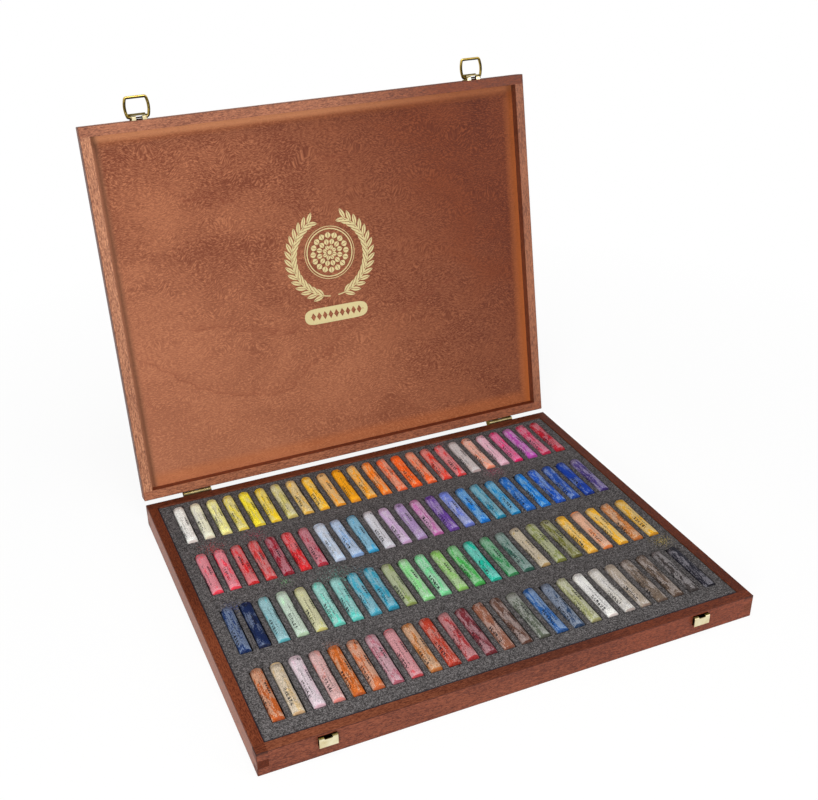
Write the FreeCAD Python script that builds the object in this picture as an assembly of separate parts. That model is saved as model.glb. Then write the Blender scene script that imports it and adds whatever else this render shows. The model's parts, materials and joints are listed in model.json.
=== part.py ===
import FreeCAD, Part
import math
import os

# Wooden pastel case: a shallow tray and a hinged lid, both finger-jointed, with a
# pocketed foam bed for four rows of pastel sticks, two stop hinges and two draw latches.
# Millimetres. X runs along the front, Y from front to back, Z up.
# The origin is the middle of the underside. The lid is modelled shut and then opened.

V = FreeCAD.Vector
X_AXIS = V(1, 0, 0)

# ---------------------------------------------------------------- case
case_width = 480.0
case_depth = 385.0
board_thickness = 10.0
tray_height = 24.0
lid_height = 13.5
panel_thickness = 4.0
rebate_depth = 5.0
panel_clearance = 0.15
finger_count = 3
edge_chamfer = 0.6
rim_gap = 0.3
open_angle = 101.8

# ---------------------------------------------------------------- foam and sticks
foam_clearance = 0.3
foam_below_rim = 1.0
pocket_depth = 8.0
pocket_side_clearance = 0.5
pocket_end_clearance = 0.7
stick_diameter = 11.0
stick_length = 64.0
stick_sides = 12
stick_lift_off_floor = 0.3
sticks_per_row = 25
row_count = 4
left_foam_margin = 13.2
right_foam_margin = 10.0
front_foam_margin = 18.95
back_foam_margin = 10.35

# ---------------------------------------------------------------- hinges
hinge_from_side = 56.75
hinge_length = 30.0
leaf_thickness = 1.0
leaf_height = 12.0
knuckle_radius = 2.3
knuckle_count = 5
knuckle_side_gap = 0.15
pin_radius = 1.0
pin_press_gap = 0.01
pin_running_gap = 0.06
barrel_off_wood = 0.2
stop_ear_thickness = 1.2
stop_ear_reach = 7.0
stop_ear_foot = 8.5
stop_ear_gap_angle = 0.6
hinge_screw_spacing = 18.0
hinge_screw_drop = 7.5

# ---------------------------------------------------------------- latches
latch_from_side = 59.5
latch_sheet = 0.9
plate_width = 15.0
plate_low = 0.4
plate_high = 12.7
lug_width = 14.2
lug_slot_width = 6.2
lug_radius = 1.6
lever_pivot_up = 2.0
lever_pivot_out = 2.4
lever_pin_radius = 0.75
lever_pin_gap = 0.05
lever_width = 16.8
lever_length = 10.2
lever_web_out = 1.7
lever_web_start = 1.0
lever_lip_rise = 1.1
bail_pivot_along = 3.5
bail_pivot_out = 0.3
bail_wire_radius = 1.4
bail_hole_gap = 0.1
bail_side_gap = 0.15
bail_length = 18.8
bail_bulge = 1.75
bail_corner_radius = 2.1
bail_foot_radius = 1.9
plate_screw_spacing = 9.0
plate_screw_up = 8.6

# ---------------------------------------------------------------- strikes
strike_width = 16.3
strike_height = 9.6
strike_sheet = 0.9
strike_stand_off = 3.5
strike_bend_radius = 1.3
strike_notch_width = 7.2
strike_notch_depth = 1.6
strike_catch_gap = 0.1
strike_screw_spacing = 8.6
strike_screw_up = 5.6

# ---------------------------------------------------------------- screws
hinge_screw_head_radius = 2.0
hinge_screw_shank_radius = 1.0
hinge_screw_length = 8.0
small_screw_head_radius = 1.5
small_screw_shank_radius = 0.8
small_screw_length = 7.0
screw_head_gap = 0.03
screw_slot_width = 0.5
screw_slot_depth = 0.35

# ---------------------------------------------------------------- worked out
half_width = case_width / 2
half_depth = case_depth / 2
lid_low = tray_height + rim_gap
foam_top = tray_height - foam_below_rim
pocket_floor = foam_top - pocket_depth
stick_radius = stick_diameter / 2
pocket_width = stick_diameter + 2 * pocket_side_clearance
pocket_length = stick_length + 2 * pocket_end_clearance
first_pocket_x = board_thickness + left_foam_margin + pocket_width / 2 - half_width
last_pocket_x = half_width - board_thickness - right_foam_margin - pocket_width / 2
front_row_y = board_thickness + front_foam_margin + pocket_length / 2 - half_depth
back_row_y = half_depth - board_thickness - back_foam_margin - pocket_length / 2
stick_pitch = (last_pocket_x - first_pocket_x) / (sticks_per_row - 1)
row_pitch = (back_row_y - front_row_y) / (row_count - 1)
stick_axis_height = pocket_floor + stick_lift_off_floor + stick_radius
hinge_axis_y = half_depth + barrel_off_wood + knuckle_radius
hinge_axis_z = tray_height + rim_gap / 2
lever_pivot = V(0, -half_depth - lever_pivot_out, lid_low + lever_pivot_up)
bail_pivot = lever_pivot + V(0, -bail_pivot_out, bail_pivot_along)
bail_foot_x = lever_width / 2 + bail_side_gap + bail_wire_radius
catch_mouth_out = strike_stand_off / 2
catch_mouth_width = strike_stand_off - 2 * strike_sheet
bail_pivot_off_wood = lever_pivot_out + bail_pivot_out
latched_lean = math.asin((bail_pivot_off_wood - catch_mouth_out) / bail_length)
latched_wire_z = bail_pivot.z - bail_length * math.cos(latched_lean)
wire_in_mouth = math.sqrt(bail_wire_radius ** 2 - (catch_mouth_width / 2) ** 2)
strike_low = latched_wire_z + wire_in_mouth + strike_catch_gap

os.makedirs("parts", exist_ok=True)


# ---------------------------------------------------------------- helpers
def box(low, high):
    """Block between two opposite corners."""
    size = high - low
    return Part.makeBox(size.x, size.y, size.z, low)


def rod(start, end, radius):
    """Round bar between two points."""
    along = end - start
    return Part.makeCylinder(radius, along.Length, start, along)


def prism(outline, length_x, middle_x):
    """Closed outline in a plane across X, made length_x thick about middle_x."""
    face = Part.Face(Part.makePolygon(outline + [outline[0]]))
    low_x = middle_x - length_x / 2
    face.translate(V(low_x - outline[0].x, 0, 0))
    return face.extrude(V(length_x, 0, 0))


def fuse(shapes):
    """One solid from several that overlap or touch."""
    return shapes[0].fuse(shapes[1:]).removeSplitter()


def opened(shape):
    """The same shape with the lid swung from shut to its open stop."""
    turned = shape.copy()
    turned.rotate(V(0, hinge_axis_y, hinge_axis_z), X_AXIS, -open_angle)
    return turned


def at_lid(x, up, out):
    """Point on the shut lid's front: up from its rim, out from the wood."""
    return V(x, -half_depth - out, lid_low + up)


def save(node, solids):
    """Write one node; several solids go out as a group."""
    shape = solids[0] if len(solids) == 1 else Part.makeCompound(solids)
    if not shape.isValid() or any(solid.Volume <= 0 for solid in solids):
        raise ValueError(node + " is not a sound solid")
    shape.exportStep("parts/" + node + ".step")
    print(node, len(solids), "solids", round(sum(solid.Volume for solid in solids), 1), "mm3")


# ---------------------------------------------------------------- wooden frames
def frame_boards(low_z, height, panel_low_z):
    """Front, back, left and right boards with finger joints and a rebate for the panel."""
    high_z = low_z + height
    finger = height / finger_count
    outside = box(V(-half_width, -half_depth, low_z), V(half_width, half_depth, high_z))
    outside = outside.makeChamfer(edge_chamfer, outside.Edges)
    seat_x = half_width - board_thickness + rebate_depth
    seat_y = half_depth - board_thickness + rebate_depth
    seat = box(V(-seat_x, -seat_y, panel_low_z), V(seat_x, seat_y, panel_low_z + panel_thickness))
    inner_x = half_width - board_thickness
    inner_y = half_depth - board_thickness
    long_levels = range(0, finger_count, 2)
    side_levels = range(1, finger_count, 2)
    boards = {}
    for name, side in (("front", -1), ("back", 1)):
        low_y = min(side * half_depth, side * inner_y)
        board = box(V(-half_width, low_y, low_z), V(half_width, low_y + board_thickness, high_z))
        boards[name] = cut_fingers(board, low_z, finger, side_levels, -half_width, inner_x, True)
    for name, side in (("left", -1), ("right", 1)):
        low_x = min(side * half_width, side * inner_x)
        board = box(V(low_x, -half_depth, low_z), V(low_x + board_thickness, half_depth, high_z))
        boards[name] = cut_fingers(board, low_z, finger, long_levels, -half_depth, inner_y, False)
    return {name: board.cut(seat).common(outside) for name, board in boards.items()}


def cut_fingers(board, low_z, finger, levels, low_end, high_end, along_x):
    """Take the other board's fingers out of both ends of this one."""
    reach = half_width + half_depth
    for level in levels:
        bottom = low_z + level * finger
        for end in (low_end, high_end):
            if along_x:
                low = V(end, -reach, bottom)
                high = V(end + board_thickness, reach, bottom + finger)
            else:
                low = V(-reach, end, bottom)
                high = V(reach, end + board_thickness, bottom + finger)
            board = board.cut(box(low, high))
    return board


def panel(low_z):
    """Plywood sheet that drops into the rebate."""
    x = half_width - board_thickness + rebate_depth - panel_clearance
    y = half_depth - board_thickness + rebate_depth - panel_clearance
    return box(V(-x, -y, low_z), V(x, y, low_z + panel_thickness))


# ---------------------------------------------------------------- foam and sticks
def pocket_centres():
    """Rows from back to front, each a list of pocket centres from left to right."""
    rows = []
    for row in range(row_count):
        y = back_row_y - row * row_pitch
        rows.append([V(first_pocket_x + column * stick_pitch, y, 0) for column in range(sticks_per_row)])
    return rows


def foam_sheet(low_z, high_z):
    """Soft sheet that fills the tray between two heights."""
    x = half_width - board_thickness - foam_clearance
    y = half_depth - board_thickness - foam_clearance
    return box(V(-x, -y, low_z), V(x, y, high_z))


def pocketed_sheet():
    """Upper foam sheet with one slot through it for each stick."""
    slots = []
    for row in pocket_centres():
        for centre in row:
            low = centre + V(-pocket_width / 2, -pocket_length / 2, pocket_floor)
            high = centre + V(pocket_width / 2, pocket_length / 2, foam_top)
            slots.append(box(low, high))
    return foam_sheet(pocket_floor, foam_top).cut(slots)


def stick(centre):
    """Pastel stick lying front to back, a many-sided bar so that a hundred of them stay light."""
    corner_radius = stick_radius / math.cos(math.pi / stick_sides)
    front = centre + V(0, -stick_length / 2, stick_axis_height)
    corners = []
    for n in range(stick_sides):
        turn = 2 * math.pi * (n + 0.5) / stick_sides
        corners.append(front + V(math.sin(turn), 0, math.cos(turn)) * corner_radius)
    return Part.Face(Part.makePolygon(corners + [corners[0]])).extrude(V(0, stick_length, 0))


# ---------------------------------------------------------------- screws
def screw(seat, drive, head_radius, shank_radius, length):
    """Slotted countersunk screw. seat is the head's middle, drive points into the wood."""
    head_depth = head_radius - shank_radius
    head = Part.makeCone(head_radius - screw_head_gap, shank_radius, head_depth, seat, drive)
    shank = rod(seat + drive * head_depth, seat + drive * length, shank_radius)
    half_width_of_slot = screw_slot_width / 2
    slot = box(
        V(-head_radius, -screw_slot_depth, -half_width_of_slot),
        V(head_radius, screw_slot_depth, half_width_of_slot),
    )
    slot.translate(seat)
    return fuse([head, shank]).cut(slot)


def screw_hole(seat, drive, head_radius, shank_radius, length):
    """The countersink and pilot hole that such a screw fills."""
    head_depth = head_radius - shank_radius
    sink = Part.makeCone(head_radius, shank_radius, head_depth, seat, drive)
    return fuse([sink, rod(seat, seat + drive * length, shank_radius)])


# ---------------------------------------------------------------- hinges
def knuckle_spans(middle_x):
    """Start and end of each knuckle along the pin, alternately tray and lid."""
    step = hinge_length / knuckle_count
    start = middle_x - hinge_length / 2
    gap = knuckle_side_gap / 2
    return [(start + step * n + gap, start + step * (n + 1) - gap) for n in range(knuckle_count)]


def hinge_leaf(middle_x, toward):
    """Leaf with its knuckles. toward is -1 for the tray's leaf and 1 for the shut lid's."""
    own = slice(0, None, 2) if toward < 0 else slice(1, None, 2)
    bore_gap = pin_press_gap if toward < 0 else pin_running_gap
    clear = knuckle_radius + rim_gap
    end_z = hinge_axis_z + toward * leaf_height
    root_z = hinge_axis_z + toward * clear
    low_x = middle_x - hinge_length / 2
    plate = box(
        V(low_x, half_depth, min(root_z, end_z)),
        V(low_x + hinge_length, half_depth + leaf_thickness, max(root_z, end_z)),
    )
    plate = round_far_corners(plate, end_z)
    pieces = [plate]
    bores = []
    for start, end in knuckle_spans(middle_x)[own]:
        pieces.append(rod(V(start, hinge_axis_y, hinge_axis_z), V(end, hinge_axis_y, hinge_axis_z), knuckle_radius))
        strap_low = V(start, half_depth, min(root_z, hinge_axis_z))
        strap_high = V(end, half_depth + leaf_thickness, max(root_z, hinge_axis_z))
        pieces.append(box(strap_low, strap_high))
        bore_start = V(start - 1, hinge_axis_y, hinge_axis_z)
        bores.append(rod(bore_start, V(end + 1, hinge_axis_y, hinge_axis_z), pin_radius + bore_gap))
    pieces += [stop_ear(middle_x, side, toward) for side in (-1, 1)]
    leaf = fuse(pieces).cut(bores)
    return leaf.cut([screw_hole(*place) for place in hinge_screw_places(middle_x, toward)])


def round_far_corners(plate, end_z):
    """Round the two corners of a leaf that lie away from the pin."""
    edges = [edge for edge in plate.Edges if is_across(edge) and abs(edge.CenterOfMass.z - end_z) < 0.01]
    return plate.makeFillet(knuckle_radius, edges)


def is_across(edge):
    """True for a straight edge that runs through the thickness, along Y."""
    start, end = edge.Vertexes[0].Point, edge.Vertexes[-1].Point
    return abs(start.x - end.x) < 0.001 and abs(start.z - end.z) < 0.001


def stop_ear(middle_x, side, toward):
    """Fin at one end of a leaf. Its outer edge lies almost half way to the other leaf.

    The fins of the two leaves meet there when the lid is open."""
    from_leaf = math.radians((180 - open_angle - stop_ear_gap_angle) / 2)
    along_leaf = V(0, 0, toward)
    off_wood = V(0, 1, 0)
    ray = along_leaf * math.cos(from_leaf) + off_wood * math.sin(from_leaf)
    pin = V(middle_x, hinge_axis_y, hinge_axis_z)
    wood = off_wood * (half_depth - hinge_axis_y)
    foot = along_leaf * stop_ear_foot
    outline = [
        pin,
        pin + ray * stop_ear_reach,
        pin + foot + wood + off_wood * leaf_thickness,
        pin + foot + wood,
        pin + wood,
    ]
    middle = middle_x + side * (hinge_length - stop_ear_thickness) / 2
    half = hinge_length / 2
    barrel_space = rod(pin - X_AXIS * half, pin + X_AXIS * half, knuckle_radius + rim_gap)
    return prism(outline, stop_ear_thickness, middle).cut(barrel_space)


def hinge_screw_places(middle_x, toward):
    """Seats of a leaf's screws, on the outside of the leaf."""
    z = hinge_axis_z + toward * hinge_screw_drop
    y = half_depth + leaf_thickness
    sizes = (hinge_screw_head_radius, hinge_screw_shank_radius, hinge_screw_length)
    return [(V(middle_x + side * hinge_screw_spacing / 2, y, z), V(0, -1, 0)) + sizes for side in (-1, 1)]


def hinge_pin(middle_x):
    """Pin as long as the barrel."""
    half = hinge_length / 2
    return rod(V(middle_x - half, hinge_axis_y, hinge_axis_z), V(middle_x + half, hinge_axis_y, hinge_axis_z), pin_radius)


# ---------------------------------------------------------------- latches
def latch_plate(middle_x):
    """Plate screwed to the lid's front, with two lugs that hold the lever's pin.

    A slot between the lugs leaves the pin's middle free."""
    half = plate_width / 2
    plate = box(at_lid(middle_x - half, plate_low, latch_sheet), at_lid(middle_x + half, plate_high, 0))
    lug_low = lever_pivot_up - lug_radius
    lug_high = lever_pivot_up + lug_radius
    half_lug = lug_width / 2
    foot = box(at_lid(middle_x - half_lug, lug_low, lever_pivot_out), at_lid(middle_x + half_lug, lug_high, 0))
    eye = rod(at_lid(middle_x - half_lug, lever_pivot_up, lever_pivot_out),
              at_lid(middle_x + half_lug, lever_pivot_up, lever_pivot_out), lug_radius)
    half_slot = lug_slot_width / 2
    slot = box(at_lid(middle_x - half_slot, 0, lever_pivot_out + lug_radius), at_lid(middle_x + half_slot, lug_high, 0))
    bore = rod(at_lid(middle_x - half, lever_pivot_up, lever_pivot_out),
               at_lid(middle_x + half, lever_pivot_up, lever_pivot_out), lever_pin_radius + lever_pin_gap)
    holes = [screw_hole(*place) for place in plate_screw_places(middle_x)]
    return fuse([plate, foot, eye]).cut([slot, bore] + holes)


def plate_screw_places(middle_x):
    """Seats of a latch plate's screws."""
    sizes = (small_screw_head_radius, small_screw_shank_radius, small_screw_length)
    half = plate_screw_spacing / 2
    return [(at_lid(middle_x + side * half, plate_screw_up, latch_sheet), V(0, 1, 0)) + sizes for side in (-1, 1)]


def at_pivot(x, along, out):
    """Point on the shut lever: along it from its pivot, out from its pivot."""
    return at_lid(x, lever_pivot_up + along, lever_pivot_out + out)


def latch_lever(middle_x):
    """Channel-shaped lever: a web with a lifted lip and two side flanges."""
    half = lever_width / 2
    web_top = lever_web_out + latch_sheet
    web_outline = [
        at_pivot(middle_x, lever_web_start, lever_web_out),
        at_pivot(middle_x, lever_web_start, web_top),
        at_pivot(middle_x, lever_length - lever_lip_rise, web_top),
        at_pivot(middle_x, lever_length, web_top + lever_lip_rise),
        at_pivot(middle_x, lever_length + latch_sheet / 2, web_top + lever_lip_rise - latch_sheet),
        at_pivot(middle_x, lever_length - lever_lip_rise / 2, lever_web_out),
    ]
    pieces = [prism(web_outline, lever_width, middle_x)]
    flange_outline = [
        at_pivot(middle_x, 0, -lug_radius),
        at_pivot(middle_x, bail_pivot_along + lug_radius, -lug_radius + bail_pivot_out),
        at_pivot(middle_x, lever_length - lever_lip_rise, lever_web_out),
        at_pivot(middle_x, lever_length - lever_lip_rise, web_top),
        at_pivot(middle_x, lever_web_start, web_top),
        at_pivot(middle_x, -lug_radius * math.sin(math.pi / 4), lug_radius * math.sin(math.pi / 4)),
    ]
    holes = []
    for side in (-1, 1):
        flange_x = middle_x + side * (half - latch_sheet / 2)
        pieces.append(prism(flange_outline, latch_sheet, flange_x))
        inner = at_pivot(flange_x - latch_sheet / 2, 0, 0)
        pieces.append(rod(inner, inner + V(latch_sheet, 0, 0), lug_radius))
        start = at_pivot(flange_x - latch_sheet, bail_pivot_along, bail_pivot_out)
        holes.append(rod(start, start + V(2 * latch_sheet, 0, 0), bail_wire_radius + bail_hole_gap))
    pin_start = at_pivot(middle_x - half - 1, 0, 0)
    holes.append(rod(pin_start, pin_start + V(lever_width + 2, 0, 0), lever_pin_radius + pin_press_gap))
    return fuse(pieces).cut(holes)


def lever_pin(middle_x):
    """Pin riveted in the lever's flanges."""
    start = at_pivot(middle_x - lever_width / 2, 0, 0)
    return rod(start, start + V(lever_width, 0, 0), lever_pin_radius)


def mirrored(point):
    """Same point on the bail's left side."""
    return V(-point.x, 0, point.z)


def bail_route(middle_x):
    """Centre line of the wire, standing straight out from the wood.

    Each side is one bulging arc. Rounded corners touch it and the straight runs."""
    rise = bail_length / 2
    side_radius = (rise ** 2 + bail_bulge ** 2) / (2 * bail_bulge)
    side_centre = V(bail_foot_x + bail_bulge - side_radius, 0, rise)
    corners = []
    for corner_radius, level, inward in ((bail_foot_radius, 0, 1), (bail_corner_radius, bail_length, -1)):
        centre_z = level + inward * corner_radius
        reach = side_radius - corner_radius
        centre = V(side_centre.x + math.sqrt(reach ** 2 - (centre_z - rise) ** 2), 0, centre_z)
        outward = (centre - side_centre).normalize()
        touch_side = side_centre + outward * side_radius
        touch_run = V(centre.x, 0, level)
        middle = (outward + V(0, 0, -inward)).normalize()
        corners.append((touch_run, centre + middle * corner_radius, touch_side))
    foot, top = corners
    end_x = lever_width / 2 - latch_sheet - bail_wire_radius / 3
    right = [
        Part.LineSegment(V(end_x, 0, 0), foot[0]),
        Part.Arc(*foot),
        Part.Arc(foot[2], side_centre + V(side_radius, 0, 0), top[2]),
        Part.Arc(top[2], top[1], top[0]),
    ]
    left = [
        Part.Arc(mirrored(top[0]), mirrored(top[1]), mirrored(top[2])),
        Part.Arc(mirrored(top[2]), side_centre.multiply(-1) + V(-side_radius, 0, bail_length), mirrored(foot[2])),
        Part.Arc(mirrored(foot[2]), mirrored(foot[1]), mirrored(foot[0])),
        Part.LineSegment(mirrored(foot[0]), V(-end_x, 0, 0)),
    ]
    crossbar = Part.LineSegment(top[0], mirrored(top[0]))
    return Part.Wire([piece.toShape() for piece in right + [crossbar] + left])


def wire_bail(middle_x):
    """Rounded-square loop of wire whose feet turn in through the lever's flanges."""
    route = bail_route(middle_x)
    start = route.Vertexes[0].Point
    section = Part.Wire([Part.Circle(start, X_AXIS, bail_wire_radius).toShape()])
    loop = route.makePipeShell([section], True, True)
    loop.rotate(V(0, 0, 0), X_AXIS, 90)
    loop.translate(V(middle_x, bail_pivot.y, bail_pivot.z))
    return loop


# ---------------------------------------------------------------- strikes
def strike(middle_x):
    """Folded plate on the tray's front. Its lower mouth catches the bail's crossbar."""
    half = strike_width / 2
    front_y = -half_depth
    high = strike_low + strike_height
    outer = box(V(middle_x - half, front_y - strike_stand_off, strike_low), V(middle_x + half, front_y, high))
    bend = [edge for edge in outer.Edges
            if abs(edge.CenterOfMass.y - front_y + strike_stand_off) < 0.01
            and abs(edge.CenterOfMass.z - high) < 0.01]
    outer = outer.makeFillet(strike_bend_radius, bend)
    gap = box(
        V(middle_x - half, front_y - strike_stand_off + strike_sheet, strike_low),
        V(middle_x + half, front_y - strike_sheet, high - strike_sheet),
    )
    half_notch = strike_notch_width / 2
    notch = box(
        V(middle_x - half_notch, front_y - strike_stand_off, high - strike_notch_depth),
        V(middle_x + half_notch, front_y - strike_sheet, high),
    )
    foot = [edge for edge in notch.Edges
            if abs(edge.CenterOfMass.z - high + strike_notch_depth) < 0.01
            and abs(abs(edge.CenterOfMass.x - middle_x) - half_notch) < 0.01]
    notch = notch.makeFillet(strike_notch_depth * 0.6, foot)
    holes = [screw_hole(*place) for place in strike_screw_places(middle_x)]
    return outer.cut([gap, notch] + holes)


def strike_screw_places(middle_x):
    """Seats of a strike's screws, in the sheet that lies on the wood."""
    sizes = (small_screw_head_radius, small_screw_shank_radius, small_screw_length)
    half = strike_screw_spacing / 2
    z = strike_low + strike_screw_up
    y = -half_depth - strike_sheet
    return [(V(middle_x + side * half, y, z), V(0, 1, 0)) + sizes for side in (-1, 1)]


# ---------------------------------------------------------------- assembly
hinge_middles = {"left": hinge_from_side - half_width, "right": half_width - hinge_from_side}
latch_middles = {"left": latch_from_side - half_width, "right": half_width - latch_from_side}


def places(screws_at, middles, *more):
    """All screws of one kind, from both sides of the case."""
    return [place for middle in middles.values() for place in screws_at(middle, *more)]


tray_hinge_places = places(hinge_screw_places, hinge_middles, -1)
lid_hinge_places = places(hinge_screw_places, hinge_middles, 1)
plate_places = places(plate_screw_places, latch_middles)
strike_places = places(strike_screw_places, latch_middles)

tray_boards = frame_boards(0, tray_height, 0)
tray_boards["front"] = tray_boards["front"].cut([screw_hole(*place) for place in strike_places])
tray_boards["back"] = tray_boards["back"].cut([screw_hole(*place) for place in tray_hinge_places])
for side, board in tray_boards.items():
    save("tray_" + side + "_board", [board])
save("tray_bottom_panel", [panel(0)])

lid_panel_low = lid_low + lid_height - panel_thickness
lid_boards = frame_boards(lid_low, lid_height, lid_panel_low)
lid_boards["front"] = lid_boards["front"].cut([screw_hole(*place) for place in plate_places])
lid_boards["back"] = lid_boards["back"].cut([screw_hole(*place) for place in lid_hinge_places])
for side, board in lid_boards.items():
    save("lid_" + side + "_board", [opened(board)])
save("lid_panel", [opened(panel(lid_panel_low))])

save("foam_bed", [foam_sheet(panel_thickness, pocket_floor)])
save("foam_pocket_sheet", [pocketed_sheet()])
for number, row in enumerate(pocket_centres(), start=1):
    save("row_" + str(number) + "_sticks", [stick(centre) for centre in row])

for side, middle in hinge_middles.items():
    save("hinge_" + side + "_tray_leaf", [hinge_leaf(middle, -1)])
    save("hinge_" + side + "_lid_leaf", [opened(hinge_leaf(middle, 1))])
    save("hinge_" + side + "_pin", [hinge_pin(middle)])
save("hinge_tray_screws", [screw(*place) for place in tray_hinge_places])
save("hinge_lid_screws", [opened(screw(*place)) for place in lid_hinge_places])

for side, middle in latch_middles.items():
    save("latch_" + side + "_plate", [opened(latch_plate(middle))])
    save("latch_" + side + "_lever", [opened(latch_lever(middle))])
    save("latch_" + side + "_lever_pin", [opened(lever_pin(middle))])
    save("latch_" + side + "_bail", [opened(wire_bail(middle))])
    save("strike_" + side, [strike(middle)])
save("latch_plate_screws", [opened(screw(*place)) for place in plate_places])
save("strike_screws", [screw(*place) for place in strike_places])
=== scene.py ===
import bpy
import json
import math
import numpy as np
from mathutils import Matrix, Vector


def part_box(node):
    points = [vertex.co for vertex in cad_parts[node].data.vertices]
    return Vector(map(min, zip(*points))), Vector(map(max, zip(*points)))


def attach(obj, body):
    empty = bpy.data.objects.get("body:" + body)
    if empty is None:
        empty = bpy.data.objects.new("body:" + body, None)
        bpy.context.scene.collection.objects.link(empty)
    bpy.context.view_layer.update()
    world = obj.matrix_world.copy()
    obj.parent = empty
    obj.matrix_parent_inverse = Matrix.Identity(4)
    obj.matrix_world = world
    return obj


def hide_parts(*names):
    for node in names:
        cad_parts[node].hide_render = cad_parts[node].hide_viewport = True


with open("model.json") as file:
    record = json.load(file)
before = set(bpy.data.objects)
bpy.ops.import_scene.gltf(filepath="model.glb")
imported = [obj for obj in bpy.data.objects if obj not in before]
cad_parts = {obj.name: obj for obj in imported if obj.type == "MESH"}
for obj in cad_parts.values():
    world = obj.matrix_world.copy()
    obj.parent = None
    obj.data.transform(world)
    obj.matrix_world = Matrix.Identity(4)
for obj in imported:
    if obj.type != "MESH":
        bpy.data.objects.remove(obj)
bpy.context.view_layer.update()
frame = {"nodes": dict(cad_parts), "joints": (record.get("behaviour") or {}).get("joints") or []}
cad = frame["nodes"]
mm = 0.001
print("frame loaded:", len(cad), "nodes")

hinge = next(joint for joint in frame["joints"] if joint["name"] == "lid_hinge")
hingePlace = Vector(hinge["pos_m"])
openAngle = math.radians(hinge["range_deg"][1])
lidOpened = Matrix.Rotation(-openAngle, 4, "X")
lidOpened = Matrix.Translation(hingePlace) @ lidOpened @ Matrix.Translation(-hingePlace)


def screenColour(red, green, blue):
    # a colour picked on a screen, 0 to 255, as the shader's linear values
    values = np.array([red, green, blue]) / 255
    linear = np.where(values <= 0.04045, values / 12.92, ((values + 0.055) / 1.055) ** 2.4)
    return (*linear.tolist(), 1.0)


# meshes from arrays
def gridQuads(rows, columns, closedAcross=False):
    # quads between neighbouring points of a rows x columns grid: a point, the next one across, and the same
    # two in the row after; closedAcross joins the last column to the first
    row = np.arange(rows - 1)[:, None] * columns
    column = np.arange(columns if closedAcross else columns - 1)[None, :]
    after = (column + 1) % columns
    corners = [row + column, row + after, row + columns + after, row + columns + column]
    return np.stack(np.broadcast_arrays(*corners), axis=-1).reshape(-1, 4)


def makePiece(name, points, quads, triangles=None, smooth=True):
    faces = quads.tolist() + ([] if triangles is None else triangles.tolist())
    mesh = bpy.data.meshes.new(name)
    mesh.from_pydata(points.reshape(-1, 3).tolist(), [], faces)
    mesh.polygons.foreach_set("use_smooth", np.full(len(mesh.polygons), smooth))
    mesh.update()
    piece = bpy.data.objects.new(name, mesh)
    bpy.context.scene.collection.objects.link(piece)
    return piece


def pointValues(piece, label, kind, values):
    # a value for every point, of the kind "color" or "vector"
    layer = piece.data.attributes.new(label, "FLOAT_" + kind.upper(), "POINT")
    layer.data.foreach_set(kind, np.ascontiguousarray(values, dtype=np.float32).ravel())


def finish(piece, body, slotName, material, *replaced):
    piece.data.materials.append(material)
    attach(piece, body)
    if replaced:
        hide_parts(*replaced)


# shader building: every helper adds its nodes to the tree that was begun last
shading = {"tree": None}


def link(source, target):
    shading["tree"].links.new(source, target)


def giveInputs(node, inputs):
    # sockets are linked and plain values are set
    for key, value in inputs.items():
        if isinstance(value, bpy.types.NodeSocket):
            link(value, node.inputs[key])
        else:
            node.inputs[key].default_value = value


def addNode(kind, inputs=None, **settings):
    node = shading["tree"].nodes.new("ShaderNode" + kind)
    for key, value in settings.items():
        setattr(node, key, value)
    giveInputs(node, inputs or {})
    return node


def pointValue(label, output):
    return addNode("Attribute", attribute_name=label).outputs[output]


def calc(operation, *values):
    return addNode("Math", dict(enumerate(values)), operation=operation).outputs[0]


def times(first, second):
    return calc("MULTIPLY", first, second)


def minus(first, second):
    return calc("SUBTRACT", first, second)


def larger(first, second):
    return calc("MAXIMUM", first, second)


def vectorCalc(operation, *values):
    return addNode("VectorMath", dict(enumerate(values)), operation=operation).outputs


def axes(vector):
    return addNode("SeparateXYZ", {0: vector}).outputs


def mix(factor, *colours, mode="MIX"):
    # each colour is a socket, or numbers with or without the alpha
    first, second = [(*colour, 1)[:4] if isinstance(colour, tuple) else colour for colour in colours]
    return addNode("Mix", {0: factor, 6: first, 7: second}, data_type="RGBA", blend_type=mode).outputs[2]


def layered(colour, *layers):
    # each layer, a share and a colour, goes over what is there
    for share, over in layers:
        colour = mix(share, colour, over)
    return colour


def weighted(first, *others):
    # the sum of sockets, each times its weight
    total = times(*first)
    for value, weight in others:
        total = calc("MULTIPLY_ADD", value, weight, total)
    return total


def tinted(colour, tint):
    return mix(1.0, colour, tint, mode="MULTIPLY")


def spread(value, low, high, toLow=0.0, toHigh=1.0):
    # low to high becomes toLow to toHigh, and stays there beyond
    inputs = {"Value": value, "From Min": low, "From Max": high, "To Min": toLow, "To Max": toHigh}
    return addNode("MapRange", inputs).outputs[0]


def turned(vector, turn, move=(0, 0, 0)):
    return addNode("Mapping", {"Vector": vector, "Rotation": turn, "Location": move}).outputs[0]


def noise(vector, scale, detail=2.0, roughness=0.5, distortion=0.0):
    # scale is one number, or three for a pattern that is stretched
    if isinstance(scale, tuple):
        vector, scale = addNode("Mapping", {"Vector": vector, "Scale": scale}).outputs[0], 1.0
    inputs = {"Vector": vector, "Scale": scale, "Detail": detail, "Roughness": roughness}
    return addNode("TexNoise", {**inputs, "Distortion": distortion}).outputs[0]


def newGroup(name, inputs, outputs):
    group = bpy.data.node_groups.new(name, "ShaderNodeTree")
    for direction, sockets in (("INPUT", inputs), ("OUTPUT", outputs)):
        for label, kind in sockets:
            group.interface.new_socket(label, in_out=direction, socket_type="NodeSocket" + kind)
    shading["tree"] = group
    return group, group.nodes.new("NodeGroupInput").outputs, group.nodes.new("NodeGroupOutput").inputs


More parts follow.
